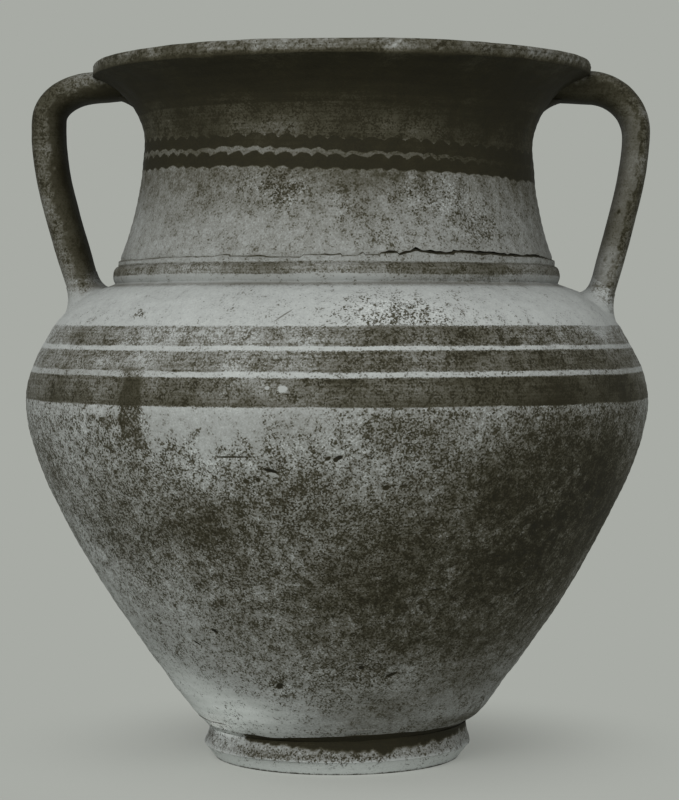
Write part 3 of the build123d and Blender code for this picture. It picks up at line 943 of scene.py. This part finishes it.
# Strap handles: a rounded strap carried along a path in the XZ plane. Each was bent by eye,
# so the two differ in how high the arm starts, how square the bend is and how far out the root stands
handle = {
    "rootStraight": 34.0,
    "rootSink": 26.0,
    "width": (50.0, 46.0, 54.0),  # arm, strap, root
    "squareness": 2.7,
    "buried": 6.0,
    "around": 200,
    "step": 2.2,
    "breakRagged": [(0.1, 30, 34), (0.1, 7, 35)],
    "breakSoft": 0.22,
    "breakLine": 0.12,
    "rough": [(0.45, 34, 31), (0.22, 11, 32)],
    "roughDepth": 0.012,  # against the way to the strap's middle
    "slipPatches": [(0.05, 40, 33)],
    "pitDark": 0.9,
}
bent = {
    "left": {
        "turn": -1,
        "armBelowLip": 2.3,
        "armDrop": 4.3,
        "standIn": 1.2,
        "bendRun": 34.4,
        "bendDrop": 27.3,
        "bendPulls": (12.9, 18.0),
        "dropPulls": (41.9, 36.7),
        "rootOut": 27.9,
        "rootLean": 16.8,
        "thickness": (25.1, 26.7, 24.4),
        "break": -0.05,  # where the outer part meets the inner on the strap's edge, from -1 inside to 1
        "slip": (0.94, 0.86, 0.68),  # on the arm's inner part, the strap's inner part and the outer part; the strap's inner part is darker here, painted shade of a face turned from the lamp
        "line": (-0.22, 0.5, 60.0),  # along the break: slip added, relief, and how far below the bend
        "rootFade": (0.35, 0.75),  # slip lost at the root, on the inner and outer part
        "pits": [],
    },
    "right": {
        "turn": 1,
        "armBelowLip": 6.2,
        "armDrop": 3.0,
        "standIn": 1.9,
        "bendRun": 37.8,
        "bendDrop": 40.4,
        "bendPulls": (17.3, 25.4),
        "dropPulls": (29.8, 36.3),
        "rootOut": 35.9,
        "rootLean": 15.0,
        "thickness": (26.5, 21.9, 20.2),
        "break": 0.26,
        # the strap's inner part is paler here, painted light on a face turned to the lamp
        "slip": (0.9, 0.5, 0.72),
        # the slip added along the break darkens the sunk groove: painted shade
        "line": (0.22, -0.8, 90.0),
        "rootFade": (0.5, 0.2),
        "pits": [(439.0, -0.45, 1.1), (421.0, 0.95, 1.4), (402.0, -0.5, 0.9)],  # height, place across, size
    },
}
lute = {"height": 17.0, "spread": 11.0, "steps": 14, "sink": 4.0}
wedge = {"run": 15.0, "drop": 13.0, "halfWidth": 19.0, "sink": 0.35}
turn = np.linspace(0, 2 * np.pi, handle["around"], endpoint=False)


def squared(value):
    return np.sign(value) * np.abs(value) ** (2 / handle["squareness"])


# Rounded strap section: a superellipse, x = a |cos u|^(2/n), y = b |sin u|^(2/n), signs kept
def strapSection(thick, wide):
    return squared(np.cos(turn)) * thick / 2, squared(np.sin(turn)) * wide / 2


# How far inside the jar's outer face a point lies, along the radius
def depthInside(points):
    return outerRadius(points[..., 2]) - np.hypot(points[..., 0], points[..., 1])


# Slides points along a way until they lie at a depth under the outer face, by halving
def slideToDepth(points, way, depth, low, high):
    low, high = np.full(points.shape[:-1], float(low)), np.full(points.shape[:-1], float(high))
    for _ in range(40):
        middle = (low + high) / 2
        deep = depthInside(points + middle[..., None] * way) > depth
        low, high = np.where(deep, middle, low), np.where(deep, high, middle)
    return points + high[..., None] * way


for side, made in bent.items():
    armThick, strapThick, rootThick = made["thickness"]
    armWide, strapWide, rootWide = handle["width"]
    armStart = np.array([jar["waistRadius"] - jar["wall"], lipUnder[1] - made["armBelowLip"]])
    strapTopRadius = reach("right_handle")[0] - made["standIn"] - strapThick / 2
    armEnd = np.array([strapTopRadius - made["bendRun"], armStart[1] - made["armDrop"]])
    strapTop = armEnd + [made["bendRun"], -made["bendDrop"]]
    rootAcross = jar["collarRadius"] + made["rootOut"] - shoulderCentre[0]
    root = shoulderCentre + [rootAcross, np.sqrt(jar["shoulderRadius"] ** 2 - rootAcross**2)]
    rootRise = heading(90 - made["rootLean"])
    rootStart = root + rootRise * handle["rootStraight"]
    armLength = np.hypot(*(armEnd - armStart))
    armWay = (armEnd - armStart) / armLength
    pullOut, pullUp = made["bendPulls"]
    bendCurve = pulled(armEnd, armEnd + armWay * pullOut, strapTop + heading(90) * pullUp, strapTop)
    pullDown, pullRoot = made["dropPulls"]
    rootPull = rootStart + rootRise * pullRoot
    dropCurve = pulled(strapTop, strapTop - heading(90) * pullDown, rootPull, rootStart)
    arm = np.linspace(armStart, armEnd, 60)
    sunkRoot = np.linspace(rootStart, root - rootRise * handle["rootSink"], 60)
    path = walk(np.vstack([arm, bendCurve[1:], dropCurve[1:], sunkRoot[1:]]), handle["step"])
    along = ways(path)
    out = np.stack([-along[:, 1], along[:, 0]], 1)
    length = runLength(path)
    bendLength = armLength + runLength(bendCurve)[-1]
    dropLength = bendLength + runLength(dropCurve)[-1]
    knots = [0, armLength, bendLength, dropLength, dropLength + handle["rootStraight"], length[-1]]
    thick = np.interp(length, knots, [armThick, armThick, strapThick, strapThick, rootThick, rootThick])
    wide = np.interp(length, knots, [armWide, armWide, strapWide, strapWide, rootWide, rootWide])
    across, sideways = strapSection(thick[:, None], wide[:, None])
    strapX, strapZ = (path[:, i : i + 1] + out[:, i : i + 1] * across for i in (0, 1))
    strapFlat = np.stack([strapX, sideways, strapZ], -1)
    armWay3, rootRise3 = (np.array([way[0], 0, way[1]]) for way in (armWay, rootRise))
    for end, way in ((length < bendLength, armWay3), (length > dropLength, rootRise3)):
        buried = (depthInside(strapFlat) > handle["buried"]) & end[:, None]
        strapFlat[buried] = slideToDepth(strapFlat[buried], way, handle["buried"], 0, 90)

    # Clay smeared round the handle's foot: for each point round the strap, a hollow quarter turn
    # from the strap's side down and out on to the shoulder, then back inside out of sight
    sweep = np.linspace(0, np.pi / 2, lute["steps"])
    sink = -lute["sink"]
    grow = np.r_[0.2 + lute["spread"] * (1 - np.cos(sweep)), lute["spread"], sink, sink]
    hollow = lute["height"] * (1 - np.sin(sweep)) - 0.3 * np.sin(sweep)
    climb = np.r_[hollow, sink, sink, lute["height"] - 2.0]
    upRoot = np.clip(climb / handle["rootStraight"], 0, 1)
    luteWide = rootWide + (strapWide - rootWide) * upRoot
    luteThick = rootThick + (strapThick - rootThick) * upRoot
    luteAcross, luteSideways = strapSection((luteThick + 2 * grow)[:, None], (luteWide + 2 * grow)[:, None])
    luteX, luteZ = root[0] + rootRise[1] * luteAcross, root[1] - rootRise[0] * luteAcross
    luteFlat = np.stack([luteX, luteSideways, luteZ], -1)
    luteFlat = slideToDepth(luteFlat, rootRise3, 0.0, -80, 80) + climb[:, None, None] * rootRise3

    # Wedge packed under the arm: a hollow fillet between the arm's underside and the flare,
    # shrinking to nothing towards the strap's two edges
    share = np.linspace(-0.98, 0.98, 25)
    size = np.sqrt(1 - share**2)[:, None]
    sweep, sink = np.linspace(0, np.pi / 2, 10), -wedge["sink"]
    wedgeOut = np.r_[1 - np.sin(sweep), sink, sink]
    wedgeDown = np.r_[1 - np.cos(sweep), 1.0, sink]
    wedgeZ = armStart[1] - armThick / 2 - 0.5 - wedge["drop"] * size * wedgeDown
    wedgeY = np.broadcast_to((share * wedge["halfWidth"])[:, None], wedgeZ.shape)
    wedgeX = np.sqrt(outerRadius(wedgeZ) ** 2 - wedgeY**2) - 0.6 + wedge["run"] * size * wedgeOut
    wedgeFlat = np.stack([wedgeX, wedgeY, wedgeZ], -1)

    way = np.array([made["turn"], made["turn"], 1])  # half a turn about the jar's axis for the left one
    half = squared(np.cos(turn))
    strapHere = strapFlat * way
    wander = half + heaped(strapHere, handle["breakRagged"])
    outerPart = eased(wander - made["break"], -handle["breakSoft"], handle["breakSoft"])
    onStrap = eased(length, armLength, bendLength)[:, None]
    nearRoot = eased(length, dropLength - 30, dropLength + 25)[:, None]
    lineSlip, lineRelief, lineRun = made["line"]
    lineEnd = eased(length, bendLength + lineRun, bendLength + 2 * lineRun)[:, None]
    ridge = hump(wander, made["break"], handle["breakLine"]) * onStrap * (1 - lineEnd)
    rough = handle["roughDepth"] * (1 + heaped(strapHere, handle["rough"]))
    middle = np.stack([path[:, 0], np.zeros(len(path)), path[:, 1]], 1)[:, None] * way
    drawn = rough - 2 * lineRelief * ridge / strapWide
    strapHere = strapHere - (strapHere - middle) * drawn[..., None]
    # slip on the arm, the inner part and the outer part, worn off at the root; the two handles' inner parts
    # differ by painted light and shade
    armSlip, innerSlipAndShading, outerSlip = made["slip"]
    innerSlipAndShadingHere = armSlip + (innerSlipAndShading - armSlip) * onStrap
    slipHere = innerSlipAndShadingHere + (outerSlip - innerSlipAndShadingHere) * outerPart + lineSlip * ridge
    innerFade, outerFade = made["rootFade"]
    rootFade = innerFade + (outerFade - innerFade) * outerPart
    slipHere = slipHere * (1 - rootFade * nearRoot) + heaped(strapHere, handle["slipPatches"])
    for pitHeight, pitAcross, pitSize in made["pits"]:
        near = hump((half - pitAcross) * strapThick / 2, 0, pitSize)
        slipHere = slipHere + handle["pitDark"] * near * hump(strapHere[..., 2], pitHeight, pitSize)
    makePiece(
        f"{side}_handle", strapHere[::-1], slippedClay, "dark_slip", loop=False,
        outside=1.0, paint=slipHere[::-1], wear=(0.6 - 0.5 * outerPart)[::-1], stain=0.3, specks=0.15,
    )
    luteSlip = slipHere[np.searchsorted(length, dropLength + handle["rootStraight"])]
    lutePaint = luteSlip * eased(climb, -2, lute["height"])[:, None]
    luteHere = (luteFlat * way)[::-1]
    luteMarks = weatheredAndShaded(luteHere)
    makePiece(
        f"{side}_root_lute", luteHere, washedClay, "pale_clay",
        outside=1.0, paint=lutePaint[::-1], **luteMarks,
    )
    makePiece(
        f"{side}_arm_lute", wedgeFlat * way, slippedClay, "dark_slip", loop=False,
        outside=1.0, paint=1.0, wear=0.0, stain=0.3, specks=0.2,
    )

# Pale paper: a flat floor that shows its shadow near the jar and one even tone to the camera beyond
studio = {
    "paper": "#A8ABA5",
    "lit": "#C6C9C3",
    "fadeStart": 0.1,
    "fadeEnd": 0.34,
    "even": 0.42,  # share of the even tone beside the jar
    "floorSize": 6.0,
    "ambient": 0.30,
}


# 1 for what the camera sees, also by way of gloss or glass
def seenDirectly(tree):
    ray = put(tree, "LightPath").node.outputs
    gloss = put(tree, "Math", "MAXIMUM", ray["Is Camera Ray"], ray["Is Glossy Ray"])
    return put(tree, "Math", "MAXIMUM", gloss, ray["Is Transmission Ray"])


floorMesh = bpy.data.meshes.new("floor")
corner = studio["floorSize"] / 2
corners = [(-corner, -corner, 0), (corner, -corner, 0), (corner, corner, 0), (-corner, corner, 0)]
floorMesh.from_pydata(corners, [], [(0, 1, 2, 3)])
floor = stand("floor", floorMesh)
paper = bpy.data.materials.new("matt paper")
tree = clearedTree(paper)
far = put(tree, "VectorMath", "LENGTH", put(tree, "TexCoord", out=3), out=1)
spread = (studio["fadeStart"], studio["fadeEnd"], studio["even"], 1.0)
fade = put(tree, "MapRange", far, *spread, interpolation_type="SMOOTHSTEP")
lit = put(tree, "BsdfDiffuse", colour(studio["lit"]))
even = put(tree, "Emission", colour(studio["paper"]))
mixed = put(tree, "MixShader", put(tree, "Math", "MULTIPLY", seenDirectly(tree), fade), lit, even)
put(tree, "OutputMaterial", mixed)
floorMesh.materials.append(paper)

world = bpy.data.worlds.new("studio")
bpy.context.scene.world = world
tree = clearedTree(world)
dim = put(tree, "Background", colour("#FFFFFF"), studio["ambient"])
even = put(tree, "Background", colour(studio["paper"]), 1.0)
put(tree, "OutputWorld", put(tree, "MixShader", seenDirectly(tree), dim, even))


# Soft lamps, each a square panel aimed at the jar's middle, with distances and sizes in m
lampAim = Vector((0, 0, 0.28))
lamps = {
    "window": {"azimuth": -20, "elevation": 23, "distance": 2.6, "size": 1.9, "power": 50},
    "skylight": {"azimuth": -10, "elevation": 78, "distance": 2.0, "size": 1.6, "power": 10},
    "reflector": {"azimuth": 55, "elevation": 6, "distance": 2.4, "size": 1.6, "power": 12},
}
for name, lamp in lamps.items():
    data = bpy.data.lights.new(name, "AREA")
    data.shape = "SQUARE"
    data.size = lamp["size"]
    data.energy = lamp["power"]
    light = stand(name, data)
    level, rise = heading(lamp["elevation"])
    spot = Vector((*(heading(lamp["azimuth"] - 90) * level), rise)) * lamp["distance"]
    light.location = spot + lampAim
    light.rotation_euler = (-spot).to_track_quat("-Z", "Y").to_euler()

# Camera, worked out from the curves of the rim, bands and foot
camera = {
    "azimuth": 3.0,
    "distance": 1985.0,
    "eye": 355.3,
    "aimAcross": 2.43,
    "aimHeight": 288.1,
    "lens": 110.0,
}
view = bpy.data.cameras.new("camera")
view.lens = camera["lens"]
eye = stand("camera", view)
bpy.context.scene.camera = eye
back, right = heading(camera["azimuth"] - 90), heading(camera["azimuth"])
aside = Vector((trueness["shift"], 0, 0)) * mm
eye.location = Vector((*(back * camera["distance"]), camera["eye"])) * mm + aside
aim = Vector((*(right * camera["aimAcross"]), camera["aimHeight"])) * mm + aside
eye.rotation_euler = (aim - eye.location).to_track_quat("-Z", "Y").to_euler()
view.clip_start, view.clip_end = 0.05, 50

bpy.context.scene.view_settings.view_transform = "Standard"
print("jar, floor, lamps and camera are in place")
